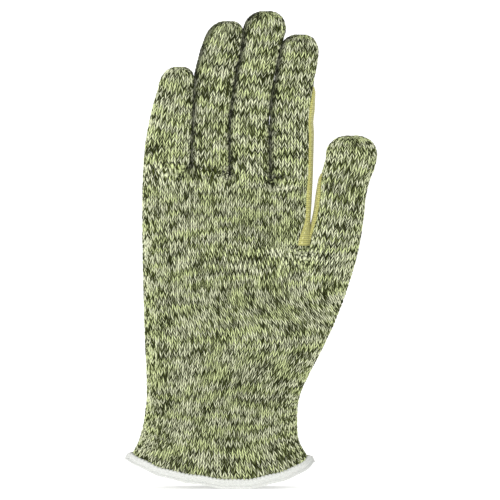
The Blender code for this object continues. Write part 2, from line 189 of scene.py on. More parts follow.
class Outline:
    """Left and right edges and half thickness of a run of CAD nodes over height."""

    def __init__(self, names, low, high, gaps=()):
        start, end = node_edges(names)
        self.heights = np.arange(low, high + 0.5, 1.0)
        rows = []
        for z in self.heights:
            cut = (start[:, 2] - z) * (end[:, 2] - z) < 0
            if not cut.any():
                rows.append((np.nan, np.nan, np.nan))
                continue
            a, b = start[cut], end[cut]
            part = ((z - a[:, 2]) / (b[:, 2] - a[:, 2]))[:, None]
            points = a + (b - a) * part
            thick = -points[:, 1].min()
            if any(abs(z - middle) < reach for middle, reach in gaps):
                thick = np.nan
            rows.append((points[:, 0].min(), points[:, 0].max(), thick))
        columns = []
        for column in np.array(rows).T:
            known = ~np.isnan(column)
            filled = np.interp(self.heights, self.heights[known], column[known])
            columns.append(smoothed(filled))
        self.left, self.right, self.thick = columns

    def read(self, values, z):
        slope = (values[6] - values[0]) / 6
        below = np.minimum(z - self.heights[0], 0) * slope
        return np.interp(z, self.heights, values) + below

    def size(self, z):
        """Centre x, half width and half thickness at every height of an array."""
        left, right = self.read(self.left, z), self.read(self.right, z)
        return (left + right) / 2, (right - left) / 2, np.interp(z, self.heights, self.thick)


class Stall(Outline):
    """The outline of a finger or thumb, closed by a rounded crown."""

    def __init__(self, name, palm=None):
        self.name = name
        nodes, joint_names = bodies_of(name), joints_of(name)
        mesh = frame["nodes"][nodes[-1]].data
        top = max((vert.co for vert in mesh.vertices), key=lambda point: point.z)
        self.tip = np.array(top) / MM
        self.crown = self.tip[2] - CROWN_HEIGHT
        gaps = [(pivot(joint)[2], 2.2) for joint in joint_names]
        low = math.ceil(pivot(joint_names[0])[2] + 3)
        super().__init__(nodes, low, self.crown, gaps)
        self.outer_edges(palm, low)

    def outer_edges(self, palm, low):
        """Carries an edge that is also the edge of the hand on down the palm's solid."""
        if palm is None:
            return
        side, node, foot = palm
        hand = Outline([node], foot, low - 5)
        known = np.concatenate([hand.heights, self.heights])
        edge = np.concatenate([getattr(hand, side), getattr(self, side)])
        heights = np.arange(foot, self.crown + 0.5, 1.0)
        self.left, self.right = self.read(self.left, heights), self.read(self.right, heights)
        self.thick = np.interp(heights, self.heights, self.thick)
        self.heights = heights
        setattr(self, side, smoothed(np.interp(heights, known, edge), 1.5))

    def size(self, z):
        inside = np.minimum(z, self.crown)
        centre, width, thick = super().size(inside)
        rise = np.clip((z - self.crown) / CROWN_HEIGHT, 0, 1)
        scale = (1 - rise**CROWN_POWER) ** (1 / CROWN_POWER)
        return centre + (self.tip[0] - centre) * rise, width * scale, thick * scale


# ---------------------------------------------------------------- sections and grids

TURN = np.linspace(0, math.pi, 721)


def unit_section(turn, power):
    """Half of a superellipse of unit size, from its left end to its right end."""
    x = -np.sign(np.cos(turn)) * np.abs(np.cos(turn)) ** (2 / power)
    return x, np.abs(np.sin(turn)) ** (2 / power)


def spaced_turns(width, thick, power, shares):
    """Turns at given shares of a half section's length, one row for each size."""
    x, y = unit_section(TURN, power)
    turns, lengths = [], []
    for half_width, half_thick, share in zip(width, thick, shares):
        run = np.hypot(np.diff(x * half_width), np.diff(y * half_thick))
        length = np.concatenate([[0], np.cumsum(run)])
        turns.append(np.interp(share * length[-1], length, TURN))
        lengths.append(length[-1])
    return np.array(turns), np.array(lengths)


def half_surface(outline, power, z, turns):
    """Points (x, depth) at heights z on one face of a tube."""
    centre, width, thick = outline.size(z)
    x, y = unit_section(turns, power)
    return centre + width * x, thick * y


def smoothstep(value):
    value = np.clip(value, 0, 1)
    return value * value * (3 - 2 * value)


def ringed(x, y, z, wale, course, shade=None):
    """Joins the two faces of a half grid into closed rings, with the fields of every point."""
    back = np.stack([x, -y, z], axis=-1)
    palm = np.stack([x, y, z], axis=-1)[:, -2:0:-1]
    points = np.concatenate([back, palm], axis=1)
    if shade is None:
        shade = np.ones_like(x)
    fields = {"wale": wale, "course": course, "shade": shade}
    for name, values in fields.items():
        fields[name] = np.concatenate([values, values[:, -2:0:-1]], axis=1)
    fields["face"] = np.zeros(points.shape[:2])
    fields["face"][:, x.shape[1]:] = 1
    return points, fields


def normals_of(points):
    along = np.roll(points, -1, axis=1) - np.roll(points, 1, axis=1)
    up = np.gradient(points, axis=0)
    normal = np.cross(along, up)
    return normal / np.maximum(np.linalg.norm(normal, axis=2, keepdims=True), 1e-9)


def grain(i, j, seed):
    """A fixed random number from 0 to 1 for a pair of whole numbers."""
    mask = 0xFFFFFFFF
    code = (i.astype(np.int64) * 374761393 + j.astype(np.int64) * 668265263) & mask
    code = (code + seed * 974634777) & mask
    code = ((code ^ (code >> 13)) * 1274126177) & mask
    return (code ^ (code >> 16)) / mask


def soft_noise(u, v, seed):
    i, j = np.floor(u), np.floor(v)
    a, b = smoothstep(u - i), smoothstep(v - j)
    low = grain(i, j, seed) * (1 - a) + grain(i + 1, j, seed) * a
    high = grain(i, j + 1, seed) * (1 - a) + grain(i + 1, j + 1, seed) * a
    return low * (1 - b) + high * b


def crease(length, share, sides):
    """Painted shade in the crease beside a neighbouring stall, deeper on the left as a painted
    shadow.
    """
    shade = np.ones_like(share * length)
    creases = (("left", share, CREASE_SHADE_LEFT), ("right", 1 - share, CREASE_SHADE_RIGHT))
    for side, inward, (depth, reach, fade) in creases:
        if side in sides:
            shade = shade - depth * smoothstep((reach - inward * length) / fade)
    return shade


def across_leg(wale):
    """0 at the foot of a stitch's V, in the middle of its wale, and 1 at its sides."""
    return np.abs(2 * (wale - np.floor(wale)) - 1)


def zigzag(wale, course):
    """How far each point of a grid row climbs or falls with the V of its stitch."""
    uneven = 0.80 + 0.40 * soft_noise(wale * 0.9, course * 0.7, 3)
    drift = 0.55 * (soft_noise(wale * 0.8, course * 0.55, 5) - 0.5)
    return LEG_RISE * uneven * (across_leg(wale) - 0.5) + drift


def stitch_height(wale, course):
    """Height of the yarn, 0 in a groove to 1 on top of a stitch leg."""
    phase = np.round(course * ROWS) / ROWS
    number = np.floor(phase)
    strand = np.sin(math.pi * (phase - number)) ** 0.45
    leg = np.sin(math.pi * across_leg(wale)) ** 0.6
    plump = 0.8 + 0.35 * grain(np.floor(wale * 2), number, 11)
    return strand * (0.22 + 0.78 * leg) * plump


def knitted(points, fields, closing=1.0):
    """The grid with its stitches raised."""
    wale = fields["wale"]
    normal = normals_of(points)
    step = np.linalg.norm(np.roll(points, -1, axis=1) - points, axis=2)
    wales = np.abs(np.roll(wale, -1, axis=1) - wale)
    pitch = step / np.maximum(wales, 1e-6)
    relief = YARN_RELIEF * smoothstep((pitch - 0.5) / 1.6) * closing
    height = (stitch_height(wale, fields["course"]) - 0.6) * relief
    return points + normal * height[..., None]


# ---------------------------------------------------------------- making meshes

NO_TRIANGLES = np.zeros((0, 3), dtype=np.int32)


def welded(points, quads, triangles):
    """Corner numbers with points that coincide made one, and faces that vanish left out."""
    _, first, same = np.unique(np.round(points, 4), axis=0, return_index=True,
                               return_inverse=True)
    same = first[same.ravel()]
    quads, triangles = same[quads], same[triangles]
    collapsed = []
    repeat = quads == np.roll(quads, -1, axis=1)
    whole = repeat.sum(axis=1) == 0
    kept_quads = quads[whole]
    for corner in range(4):
        three = (repeat.sum(axis=1) == 1) & repeat[:, corner]
        collapsed.append(np.delete(quads[three], corner, axis=1))
    triangles = np.concatenate([triangles] + collapsed)
    proper = ((triangles[:, 0] != triangles[:, 1]) & (triangles[:, 1] != triangles[:, 2])
              & (triangles[:, 2] != triangles[:, 0]))
    return kept_quads, triangles[proper], whole


def build_mesh(name, points, quads, triangles, attributes, material, flat=0):
    """A mesh from points in millimetres and corner numbers. The first quads can be flat."""
    quads, triangles, whole = welded(points, quads, triangles)
    flat = int(whole[:flat].sum())
    used, numbers = np.unique(np.concatenate([quads.ravel(), triangles.ravel()]),
                              return_inverse=True)
    quads = numbers[:quads.size].reshape(-1, 4)
    triangles = numbers[quads.size:].reshape(-1, 3)
    points = points[used]
    attributes = {key: values[used] for key, values in attributes.items()}
    mesh = bpy.data.meshes.new(name)
    mesh.vertices.add(len(points))
    mesh.vertices.foreach_set("co", (points * MM).astype(np.float32).ravel())
    corners = np.concatenate([quads.ravel(), triangles.ravel()]).astype(np.int32)
    sizes = np.concatenate([np.full(len(quads), 4), np.full(len(triangles), 3)])
    mesh.loops.add(len(corners))
    mesh.loops.foreach_set("vertex_index", corners)
    mesh.polygons.add(len(sizes))
    starts = np.concatenate([[0], np.cumsum(sizes)[:-1]]).astype(np.int32)
    mesh.polygons.foreach_set("loop_start", starts)
    mesh.update(calc_edges=True)
    smooth = np.ones(len(sizes), dtype=bool)
    smooth[:flat] = False
    mesh.polygons.foreach_set("use_smooth", smooth)
    for key, values in attributes.items():
        attribute = mesh.attributes.new(key, "FLOAT", "POINT")
        attribute.data.foreach_set("value", values.astype(np.float32))
    mesh.materials.append(material)
    mesh.validate()
    obj = bpy.data.objects.new(name, mesh)
    bpy.context.scene.collection.objects.link(obj)
    return obj


def grid_quads(rows, columns, first=0, closed=True):
    """Corner numbers of a grid's quads, outside facing out for rings that run +X at -Y."""
    r, c = np.meshgrid(np.arange(rows - 1), np.arange(columns if closed else columns - 1),
                       indexing="ij")
    following = (c + 1) % columns
    quads = np.stack([r * columns + c, r * columns + following,
                      (r + 1) * columns + following, (r + 1) * columns + c], axis=-1)
    return quads.reshape(-1, 4) + first


def sleeve(name, outer, inner, fields, tips=None):
    """A closed piece of fabric between an outer and an inner grid of rings."""
    rows, columns = outer.shape[:2]
    kept = list(range(0, rows - 1, INNER_STEP)) + [rows - 1]
    inner = inner[kept]
    first = rows * columns
    inside = grid_quads(len(kept), columns, first)[:, ::-1]
    ring = np.arange(columns)
    after = (ring + 1) % columns
    foot = np.stack([ring, first + ring, first + after, after], axis=1)
    points = [outer.reshape(-1, 3), inner.reshape(-1, 3)]
    values = {key: [field.ravel(), field[kept].ravel()] for key, field in fields.items()}
    last, inner_last = (rows - 1) * columns, first + (len(kept) - 1) * columns
    triangles = NO_TRIANGLES
    rims = [foot]
    if tips is None:
        rims.append(np.stack([last + ring, last + after, inner_last + after,
                              inner_last + ring], axis=1))
    else:
        tip = first + len(kept) * columns
        points.append(np.array(tips))
        for key, field in fields.items():
            values[key].append(np.repeat(field[-1, 0], 2))
        triangles = np.concatenate([
            np.stack([last + ring, last + after, np.full(columns, tip)], axis=1),
            np.stack([inner_last + after, inner_last + ring, np.full(columns, tip + 1)], axis=1)])
    quads = np.concatenate(rims + [grid_quads(rows, columns), inside])
    attributes = {key: np.concatenate(parts) for key, parts in values.items()}
    flat = sum(len(rim) for rim in rims)
    return build_mesh(name, np.concatenate(points), quads, triangles, attributes, knit, flat)


# ---------------------------------------------------------------- materials

class Shader:
    """A Principled material with a short way of adding the nodes that feed it."""

    def __init__(self, name, roughness, sheen):
        self.material = bpy.data.materials.new(name)
        self.material.use_nodes = True
        self.tree = self.material.node_tree
        self.surface = self.tree.nodes["Principled BSDF"]
        self.surface.inputs["Roughness"].default_value = roughness
        self.surface.inputs["Sheen Weight"].default_value = sheen
        self.surface.inputs["Sheen Roughness"].default_value = 0.6
        self.surface.inputs["Specular IOR Level"].default_value = 0.12

    def put(self, socket, value):
        if isinstance(value, bpy.types.NodeSocket):
            self.tree.links.new(value, socket)
        elif value is not None:
            socket.default_value = value

    def math(self, operation, *values, clamp=False):
        node = self.tree.nodes.new("ShaderNodeMath")
        node.operation = operation
        node.use_clamp = clamp
        for socket, value in zip(node.inputs, values):
            self.put(socket, value)
        return node.outputs[0]

    def attribute(self, name):
        node = self.tree.nodes.new("ShaderNodeAttribute")
        node.attribute_name = name
        return node.outputs["Fac"]

    def combine(self, x, y, z=0.0):
        node = self.tree.nodes.new("ShaderNodeCombineXYZ")
        for socket, value in zip(node.inputs, (x, y, z)):
            self.put(socket, value)
        return node.outputs[0]

    def position(self):
        return self.tree.nodes.new("ShaderNodeTexCoord").outputs["Object"]

    def noise(self, vector, scale, detail=2.0, roughness=0.5):
        node = self.tree.nodes.new("ShaderNodeTexNoise")
        self.put(node.inputs["Vector"], vector)
        node.inputs["Scale"].default_value = scale
        node.inputs["Detail"].default_value = detail
        node.inputs["Roughness"].default_value = roughness
        return node.outputs["Fac"]

    def random(self, vector):
        node = self.tree.nodes.new("ShaderNodeTexWhiteNoise")
        self.put(node.inputs["Vector"], vector)
        return node.outputs["Value"]

    def ramp(self, value, low, high, low_out=0.0, high_out=1.0):
        node = self.tree.nodes.new("ShaderNodeMapRange")
        node.interpolation_type = "SMOOTHSTEP"
        for socket, number in zip(node.inputs, (value, low, high, low_out, high_out)):
            self.put(socket, number)
        return node.outputs[0]

    def mix(self, share, first, second):
        node = self.tree.nodes.new("ShaderNodeMix")
        node.data_type = "RGBA"
        self.put(node.inputs["Factor"], share)
        self.put(node.inputs["A"], first)
        self.put(node.inputs["B"], second)
        return node.outputs["Result"]

    def scaled(self, colour, share):
        node = self.tree.nodes.new("ShaderNodeVectorMath")
        node.operation = "SCALE"
        self.put(node.inputs[0], colour)
        self.put(node.inputs["Scale"], share)
        return node.outputs[0]

    def bump(self, height, distance, strength=1.0):
        node = self.tree.nodes.new("ShaderNodeBump")
        node.inputs["Distance"].default_value = distance
        node.inputs["Strength"].default_value = strength
        self.put(node.inputs["Height"], height)
        self.put(self.surface.inputs["Normal"], node.outputs[0])

    def colour(self, value):
        self.put(self.surface.inputs["Base Color"], value)


PALE_PLY = (0.86, 0.89, 0.61, 1.0)
LIME_PLY = (0.76, 0.84, 0.42, 1.0)
DARK_PLY = (0.024, 0.031, 0.001, 1.0)
GREY_PLY = (0.078, 0.096, 0.019, 1.0)
PLY_TWIST = -0.20            # turns of the two plies along a stitch leg
GROOVE_SHADE = 0.42          # painted shade in the grooves between neighbouring yarns
END_SHADE = 0.22             # painted shade where a leg dips behind the next stitch


def knit_material():
    """Two-ply marl yarn: a pale ply and a charcoal ply twisted round each other."""
    shader = Shader("marl_knit", 0.92, 0.08)
    wale, course = shader.attribute("wale"), shader.attribute("course")
    face = shader.attribute("face")
    local = shader.math("FRACT", wale)
    across = shader.math("ABSOLUTE", shader.math("MULTIPLY_ADD", local, 2.0, -1.0))
    phase = shader.math("FRACT", shader.math("ADD", course, 0.001))
    row = shader.math("FLOOR", shader.math("ADD", course, 0.001))
    side = shader.math("FLOOR", shader.math("MULTIPLY", wale, 2.0))
    leg = shader.random(shader.combine(side, row, face))
    other = shader.random(shader.combine(row, side, shader.math("ADD", face, 7.0)))

    streak_place = shader.combine(shader.math("MULTIPLY", wale, 0.20),
                                  shader.math("MULTIPLY", course, 0.75),
                                  shader.math("MULTIPLY", face, 9.0))
    streak = shader.noise(streak_place, 1.0, 3.0, 0.6)

    twist = shader.math("MULTIPLY_ADD", across, PLY_TWIST, phase)
    turned = shader.math("FRACT", shader.math("ADD", twist, leg))
    ply = shader.math("ABSOLUTE", shader.math("MULTIPLY_ADD", turned, 2.0, -1.0))
    bias = shader.ramp(streak, 0.36, 0.62, 0.74, 0.31)
    bias = shader.math("ADD", bias, shader.math("MULTIPLY_ADD", other, 0.84, -0.42))
    pale = shader.ramp(shader.math("SUBTRACT", ply, bias), -0.12, 0.12)

    tint = shader.noise(streak_place, 0.7, 2.0)
    bright = shader.mix(shader.ramp(tint, 0.42, 0.60), PALE_PLY, LIME_PLY)
    dull = shader.mix(shader.ramp(streak, 0.36, 0.60), DARK_PLY, GREY_PLY)
    yarn = shader.mix(pale, dull, bright)
    fibre = shader.noise(shader.position(), 2600.0, 2.0, 0.6)
    fibre_shade = shader.ramp(fibre, 0.25, 0.75, 0.78, 1.15)
    # Painted shade: darker between courses, where legs dip behind the next stitch, and in the
    # creases between stalls
    groove = shader.math("SINE", shader.math("MULTIPLY", phase, math.pi))
    groove = shader.ramp(groove, 0.05, 0.75, GROOVE_SHADE, 1.0)
    ends = shader.math("SINE", shader.math("MULTIPLY", across, math.pi))
    groove = shader.math("MULTIPLY", groove, shader.ramp(ends, 0.1, 0.85, END_SHADE, 1.0))
    groove = shader.math("MULTIPLY", groove, shader.attribute("shade"))
    shader.colour(shader.scaled(yarn, shader.math("MULTIPLY", fibre_shade, groove)))
    rope = shader.math("MULTIPLY", ply, 0.3)
    shader.bump(shader.math("MULTIPLY_ADD", fibre, 0.5, rope), 0.00025, 0.7)
    return shader.material


def thread_material(name, colour, shadow, scale, roughness=0.8, sheen=0.2):
    shader = Shader(name, roughness, sheen)
    place = shader.position()
    fibre = shader.noise(place, scale, 3.0, 0.6)
    shader.colour(shader.mix(shader.ramp(fibre, 0.2, 0.7), shadow, colour))
    shader.bump(fibre, 0.00012, 0.6)
    return shader.material


knit = knit_material()
hem_thread = thread_material("hem_thread", (0.77, 0.78, 0.75, 1), (0.58, 0.59, 0.56, 1), 2200.0)
elastic_yarn = thread_material("elastic_yarn", (0.80, 0.80, 0.74, 1), (0.55, 0.55, 0.50, 1),
                               1500.0)


def aramid_material():
    """Golden ribbed aramid, with a lighter sewing thread near its edges."""
    shader = Shader("ribbed_aramid", 0.72, 0.3)
    fibre = shader.noise(shader.position(), 1900.0, 3.0, 0.6)
    body = shader.mix(shader.ramp(fibre, 0.25, 0.7), (0.38, 0.36, 0.09, 1), (0.62, 0.60, 0.21, 1))
    # Painted shade: the colour is darker in the grooves between the ribs
    rib = shader.ramp(shader.attribute("rib"), 0.1, 0.8, 0.55, 1.0)
    sewn = shader.ramp(shader.attribute("seam"), 0.4, 0.7)
    shader.colour(shader.mix(sewn, shader.scaled(body, rib), (0.72, 0.70, 0.32, 1)))
    shader.bump(fibre, 0.00012, 0.6)
    return shader.material


aramid = aramid_material()


# ---------------------------------------------------------------- knitted tubes

wrist_joint = pivot("wrist_flex")[2]
body_outline = Outline(["cuff", "lower_palm"], 16, 125, [(wrist_joint, 5.8)])
palm_outline = Outline(["upper_palm"], 127, 168)
# Stalls whose outer edge is also the hand's: the side, the palm node and where it is read from
HAND_EDGES = {"little": ("left", "upper_palm", 150), "index": ("right", "upper_palm", 150),
              "thumb": ("right", "lower_palm", 100)}
stalls = {name: Stall(name, HAND_EDGES.get(name)) for name in FINGERS + ("thumb",)}


class Crown:
    """The rounded end of a stall: heights at distances along its surface."""

    def __init__(self, stall):
        angle = np.linspace(0, math.pi / 2, 200)
        width = stall.size(np.array([stall.crown]))[1][0]
        out = width * np.cos(angle) ** (2 / CROWN_POWER)
        rise = CROWN_HEIGHT * np.sin(angle) ** (2 / CROWN_POWER)
        steps = np.hypot(np.diff(out), np.diff(rise))
        self.rise = rise
        self.run = np.concatenate([[0], np.cumsum(steps)])
        self.length = self.run[-1]
        self.base = stall.crown

    def height(self, along):
        past = np.clip(along - self.base, 0, self.length * 0.985)
        return np.minimum(along, self.base) + np.interp(past, self.run, self.rise)


def stall_grid(stall, levels, wales, first_wale, first_course, waves=1.0):
    """Rings up a stall between planes, each given by its height and slope, then its crown."""
    crown = Crown(stall)
    share = np.linspace(0, 1, wales * DETAIL + 1)
    alongs, nominals, cuts = [], [], [0]
    planes = levels + [(crown.base + crown.length, 0.0)]
    for low, high in zip(planes, planes[1:]):
        foot, top = np.mean(low[0]), np.mean(high[0])
        count = max(1, round((top - foot) / COURSE)) * ROWS
        part = np.arange(count) / count
        nominal = foot + (top - foot) * part
        ends = []
        for height, slope in (low, high):
            centre, width, _ = stall.size(np.array([min(np.mean(height), stall.crown)]))
            ends.append(height + slope * width * np.cos(share * math.pi))
        part = part[:, None]
        alongs.append(ends[0] + (ends[1] - ends[0]) * part)
        nominals.append(nominal)
        cuts.append(cuts[-1] + count)
    along, nominal = np.concatenate(alongs), np.concatenate(nominals)
    wale, course = np.meshgrid(first_wale + share * wales,
                               first_course + np.arange(len(along)) / ROWS)
    left = crown.base + crown.length - nominal[:, None]
    along = along + zigzag(wale, course) * smoothstep(left / 10) * waves
    z = crown.height(along)
    _, width, thick = stall.size(crown.height(nominal))
    turns, length = spaced_turns(width, thick, FINGER_POWER, [share] * len(nominal))
    x, y = half_surface(stall, FINGER_POWER, z, turns)
    # Painted shade in the creases beside neighbouring stalls, fading out over the last 8 mm to the
    # tip
    beside = crease(length[:, None], share[None, :], NEIGHBOURS[stall.name])
    shade = beside + (1 - beside) * smoothstep((8 - left) / 8)
    points, fields = ringed(x, y, z, wale, course, shade)
    return points, fields, cuts, smoothstep(left / 4)


def bend(obj, body_a, body_b, joint, below, above):
    """Bakes a piece's place into its mesh. It is not bent across the joint; the reach below and
    above the pivot is not used.
    """
    axis = Vector(joints[joint]["axis"])
    along = axis.cross(Vector((0, 1, 0))).normalized()
    if along.z < 0:
        along = -along
    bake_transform(obj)


def stall_levels(name, foot):
    """The planes where the pieces of a stall start."""
    return [(foot, 0.0)] + [plane for _, plane in BENDS[name][:-1]]


def make_stall(stall, foot, wales, first_wale, first_course):
    """One finger or thumb as pieces, one for each of its joints."""
    levels = stall_levels(stall.name, foot)
    points, fields, cuts, closing = stall_grid(stall, levels, wales, first_wale, first_course)
    outer = knitted(points, fields, closing)
    inner = points - normals_of(points) * WALL
    tips = (stall.tip, stall.tip - np.array((0, 0, WALL)))
    cuts[-1] = len(points) - 1
    names, bodies = joints_of(stall.name), ["hand"] + bodies_of(stall.name)
    for number, (joint, (reach, _)) in enumerate(zip(names, BENDS[stall.name])):
        rows = slice(cuts[number], cuts[number + 1] + 1)
        last = joint == names[-1]
        piece = sleeve("%s_knit_%d" % (stall.name, number + 1), outer[rows], inner[rows],
                       {key: field[rows] for key, field in fields.items()},
                       tips if last else None)
        bend(piece, bodies[number], bodies[number + 1], joint, *reach)
        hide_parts(bodies[number + 1])


def seal(left_side, right_side, web, reach):
    """Makes two neighbouring outlines meet at their web, and part over a reach above it."""
    edges = [float(left_side.read(left_side.right, web)),
             float(right_side.read(right_side.left, web))]
    middle = sum(edges) / 2
    for outline, name, edge in ((left_side, "right", edges[0]), (right_side, "left", edges[1])):
        share = 1 - smoothstep((outline.heights - web) / reach)
        setattr(outline, name, getattr(outline, name) + (middle - edge) * share)


# Heights of the web between the fingers, from the root joints on both sides of each crotch
roots = [pivot(finger + "_root_flex")[2] for finger in FINGERS]
webs = [roots[0] - EDGE_DROPS[0]]
webs += [min(a, b) - WEB_DROP for a, b in zip(roots, roots[1:])]
webs += [roots[-1] - EDGE_DROPS[1]]


for finger, stall in stalls.items():
    if "left" in NEIGHBOURS[finger]:
        stall.left = stall.left - STALL_SPREAD
    if "right" in NEIGHBOURS[finger]:
        stall.right = stall.right + STALL_SPREAD
for first, second, web in zip(FINGERS, FINGERS[1:], webs[1:-1]):
    seal(stalls[first], stalls[second], web, FINGER_SEAL)
seal(palm_outline, stalls["thumb"], PALM_SPLIT, THUMB_SEAL)


def web_line(wales):
    """Height of the palm's top edge at every column of one finger."""
    return {finger: np.linspace(webs[i], webs[i + 1], wales * DETAIL + 1)
            for i, finger in enumerate(FINGERS)}


def lobes(parts, z_rows, levels):
    """Half sections of several stalls side by side, as one row of columns."""
    xs, ys = [], []
    for outline, power, wales, columns in parts:
        share = np.linspace(0, 1, wales * DETAIL + 1)
        z = z_rows[:, columns]
        nominal = levels[:, columns].mean(axis=1)
        _, width, thick = outline.size(nominal)
        turns, _ = spaced_turns(width, thick, power, [share] * len(nominal))
        x, y = half_surface(outline, power, z, turns)
        if xs:
            shared = (xs[-1][:, -1] + x[:, 0]) / 2
            xs[-1][:, -1] = shared
            xs.append(x[:, 1:])
            ys.append(y[:, 1:])
        else:
            xs.append(x)
            ys.append(y)
    return np.hstack(xs), np.hstack(ys)


def upper_palm_grid(first_course, waves=1.0):
    """The four finger knit, whose top divides into the finger stalls."""
    line = web_line(FINGER_WALES)
    top = np.concatenate([line[FINGERS[0]]] + [line[finger][1:] for finger in FINGERS[1:]])
    count = round((top.mean() - PALM_SPLIT) / COURSE) * ROWS
    part = np.arange(count + 1)[:, None] / count
    share = np.linspace(0, 1, PALM_WALES * DETAIL + 1)
    wale, course = np.meshgrid(share * PALM_WALES, first_course + np.arange(count + 1) / ROWS)
    level = PALM_SPLIT + (top[None, :] - PALM_SPLIT) * part
    z = level + zigzag(wale, course) * waves
    nominal = level.mean(axis=1)
    _, width, thick = palm_outline.size(nominal)
    turns, _ = spaced_turns(width, thick, PALM_POWER, [share] * len(nominal))
    x, y = half_surface(palm_outline, PALM_POWER, z, turns)
    parts = []
    # Painted shade in the creases between the finger lobes, fading out down the palm below each
    # crotch
    shade = np.ones_like(z)
    for i, finger in enumerate(FINGERS):
        first = i * FINGER_WALES * DETAIL
        columns = slice(first, first + FINGER_WALES * DETAIL + 1)
        parts.append((stalls[finger], FINGER_POWER, FINGER_WALES, columns))
        across = np.linspace(0, 1, FINGER_WALES * DETAIL + 1)[None, :]
        shade[:, columns] = np.minimum(shade[:, columns], crease(24.0, across, NEIGHBOURS[finger]))
    lobe_x, lobe_y = lobes(parts, z, level)
    share_lobe = np.clip(1 - (top[None, :] - level) / WEB_DEPTH, 0, 1) ** 2.5
    x = x + (lobe_x - x) * share_lobe
    y = y + (lobe_y - y) * share_lobe
    shade = 1 - (1 - shade) * share_lobe
    return ringed(x, y, z, wale, course, shade)


def make_upper_palm(first_course):
    points, fields = upper_palm_grid(first_course)
    outer = knitted(points, fields)
    inner = clear_of_web(points, points - normals_of(points) * WALL)
    piece = sleeve("upper_palm_knit", outer, inner, fields)
    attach(piece, "hand")
    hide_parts("upper_palm")
    return fields["course"][-1, 0]


def clear_of_web(points, inner):
    """Keeps the inner faces of the back and the palm apart where they close at a web."""
    depth = np.abs(points[..., 1])
    inner = inner.copy()
    limit = np.sign(points[..., 1]) * np.maximum(depth - WALL, depth * 0.35)
    narrow = depth < 2.5 * WALL
    inner[..., 0] = np.where(narrow, points[..., 0], inner[..., 0])
    inner[..., 1] = np.where(narrow, limit, inner[..., 1])
    return inner


def crotch_share():
    """Where the thumb crotch lies along the half section at the top of the lower palm."""
    z = np.array([125.0])
    _, width, thick = body_outline.size(z)
    share = np.linspace(0, 1, 2001)
    turns, _ = spaced_turns(width, thick, PALM_POWER, [share])
    x, _ = half_surface(body_outline, PALM_POWER, z[:, None], turns)
    thumb = stalls["thumb"]
    crotch = (palm_outline.right[0] + np.interp(PALM_SPLIT, thumb.heights, thumb.left)) / 2
    return float(np.interp(crotch, x[0], share))


thumb_share = crotch_share()


def body_shares(wale, z):
    """Place round the half section of every wale, as the thumb's wales fan in at the side."""
    opened = smoothstep((z - CUFF_TOP) / (GUSSET_FULL - CUFF_TOP))
    most = PALM_WALES + THUMB_WALES * opened
    even = PALM_WALES / most
    parted = smoothstep((z - GUSSET_START) / (PALM_SPLIT - 3 - GUSSET_START))
    edge = even + (thumb_share - even) * parted
    beyond = (wale - PALM_WALES) / np.maximum(most - PALM_WALES, 1e-6)
    share = np.where(wale <= PALM_WALES, edge * wale / PALM_WALES, edge + (1 - edge) * beyond)
    return np.minimum(share, 1.0), most


def make_lower_palm(first_course):
    """The five finger knit, whose top divides into the palm and the thumb."""
    count = round((PALM_SPLIT - CUFF_TOP) / COURSE) * ROWS
    nominal = np.linspace(CUFF_TOP, PALM_SPLIT, count + 1)
    columns = BODY_WALES * DETAIL + 1
    wale, course = np.meshgrid(np.arange(columns) / DETAIL,
                               first_course + np.arange(count + 1) / ROWS)
    level = np.repeat(nominal[:, None], columns, axis=1)
    share, most = body_shares(wale, level)
    gone = share >= 1.0
    fade = np.where(wale <= PALM_WALES, 1.0, smoothstep((most - wale) / 1.5))
    fade = fade + (1 - fade) * smoothstep((nominal[:, None] - GUSSET_FULL) / 8)
    edge = smoothstep((most - PALM_WALES) / 1.0) * smoothstep((wale - PALM_WALES + 1) / 1.0)
    z = level + zigzag(wale, course) * (1 - (1 - fade) * edge)
    share = np.where(gone, 1.0, body_shares(wale, z)[0])
    _, width, thick = body_outline.size(nominal)
    turns, _ = spaced_turns(width, thick, PALM_POWER, share)
    x, y = half_surface(body_outline, PALM_POWER, z, turns)
    split = PALM_WALES * DETAIL
    parts = [(palm_outline, PALM_POWER, PALM_WALES, slice(0, split + 1)),
             (stalls["thumb"], FINGER_POWER, THUMB_WALES, slice(split, columns))]
    lobe_x, lobe_y = lobes(parts, z, level)
    near = np.clip(1 - (PALM_SPLIT - nominal) / THUMB_WEB_DEPTH, 0, 1)[:, None] ** 2.3
    x = x + (lobe_x - x) * near
    y = y + (lobe_y - y) * near
    last = np.argmax(gone, axis=1)
    for row, column in enumerate(last):
        for values in (x, y, z):
            values[row, column:] = values[row, column]
    points, fields = ringed(x, y, z, wale, course)
    outer = knitted(points, fields)
    inner = clear_of_web(points, points - normals_of(points) * WALL)
    merged = np.concatenate([gone, gone[:, -2:0:-1]], axis=1)
    for row, column in enumerate(last):
        for grid in (outer, inner):
            grid[row, merged[row]] = grid[row, column]
    piece = sleeve("lower_palm_knit", outer, inner, fields)
    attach(piece, "hand")
    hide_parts("lower_palm")
    return fields["course"][-1, 0]


def hem_curve(x):
    """Share of the hem's rise at places across the cuff, from -1 to 1."""
    return x * x * (HEM_SIDES - HEM_TILT * x) - HEM_SKEW * (x - x**3)


def hem_climb(height):
    """How much the courses still climb towards the sides at a height over the hem."""
    return HEM_RISE * np.clip(1 - height / WRIST_LEVEL, 0, 1)


def cuff_surface(level, height, share, offset=0.0):
    """Half grid of the flared cuff at heights above its curved hem."""
    side = level + hem_climb(level)
    _, width, _ = body_outline.size(side)
    thick = np.interp(level, body_outline.heights, body_outline.thick)
    thick = thick + np.clip(16 - level, 0, 16) * 0.10 + offset
    turns, _ = spaced_turns(width + offset, thick, PALM_POWER, share)
    climb = hem_climb(height)
    x, y = unit_section(turns, PALM_POWER)
    z = height + climb * hem_curve(x)
    centre, width, _ = body_outline.size(z)
    return centre + (width + offset) * x, thick[:, None] * y, z


